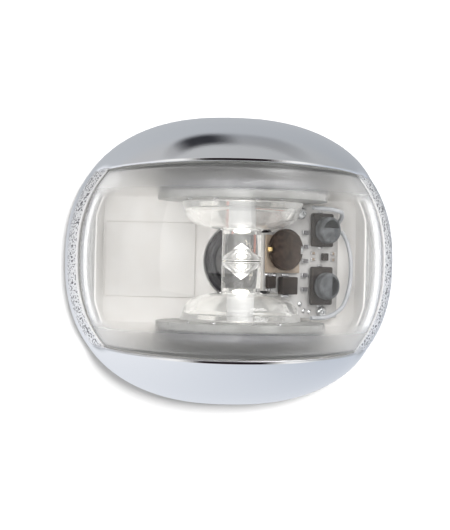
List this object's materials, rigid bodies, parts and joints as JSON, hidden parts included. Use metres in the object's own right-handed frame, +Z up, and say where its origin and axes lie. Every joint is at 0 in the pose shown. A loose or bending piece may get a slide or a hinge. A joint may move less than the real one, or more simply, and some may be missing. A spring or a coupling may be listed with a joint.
{
  "type": "navigation light",
  "caption": "Compact marine navigation light: clear wrap-round lens in a domed chrome push-fit cover, with light guides and driver board inside.",
  "frame": {"origin": "middle of the mounting face, on the bulkhead's surface", "axes": "+Z up as mounted, -Y out of the front of the light, +X to the right seen from the front"},
  "size_m": [0.0762, 0.0432, 0.0664],
  "materials": {
    "chrome": "bright chrome plate on moulded plastic, grained on the two side strips",
    "lens": "clear polished polycarbonate",
    "clear_plastic": "clear polished acrylic",
    "white_plastic": "white satin moulding",
    "base_plastic": "white satin moulding",
    "foam": "black closed-cell foam",
    "rubber": "black glossy rubber",
    "silicone": "white silicone seal",
    "potting": "black cured compound with a wavy glossy top",
    "aluminium": "bright turned aluminium",
    "led_resin": "clear resin over a pale phosphor",
    "circuit_board": "white solder resist",
    "tan_plastic": "tan moulded plastic",
    "ferrite": "dark brown sintered ferrite",
    "gold_plate": "gold-plated terminal",
    "plated_steel": "bright plated steel",
    "moulded_package": "black moulded package",
    "resistor_ceramic": "dark glaze on ceramic with tinned ends",
    "red_insulation": "red wire insulation",
    "black_insulation": "black wire insulation",
    "white_insulation": "white wire insulation"
  },
  "bodies": {
    "base": {"mounting_gasket": "foam", "base_plate": "base_plastic", "lens_gasket": "silicone", "lens": "lens", "reflector_housing": "white_plastic", "cable_grommet": "rubber", "cable_potting": "potting", "upper_light_guide": "clear_plastic", "lower_light_guide": "clear_plastic", "upper_led_post": "aluminium", "lower_led_post": "aluminium", "upper_led": "led_resin", "lower_led": "led_resin", "upper_led_board": "circuit_board", "lower_led_board": "circuit_board", "upper_heat_spreader": "aluminium", "lower_heat_spreader": "aluminium", "driver_board": "circuit_board", "board_screw_1": "plated_steel", "board_screw_2": "plated_steel", "choke_base": "tan_plastic", "choke_core": "ferrite", "choke_terminal_left": "gold_plate", "choke_terminal_right": "plated_steel", "protection_diode": "moulded_package", "driver_chip": "moulded_package", "sense_chip": "moulded_package", "input_capacitor_base": "moulded_package", "input_capacitor_can": "aluminium", "output_capacitor_base": "moulded_package", "output_capacitor_can": "aluminium", "resistor_1": "resistor_ceramic", "resistor_2": "resistor_ceramic", "resistor_3": "resistor_ceramic", "resistor_4": "resistor_ceramic", "resistor_5": "resistor_ceramic", "supply_wire_red": "red_insulation", "supply_wire_black": "black_insulation", "led_lead_upper": "white_insulation", "led_lead_lower": "white_insulation"},
    "cover": {"chrome_cover": "chrome"}
  },
  "joints": [
    {"name": "cover_release", "type": "slide", "parent": "base", "child": "cover", "axis": [0, -1, 0], "range_m": [0, 0.06]}
  ]
}
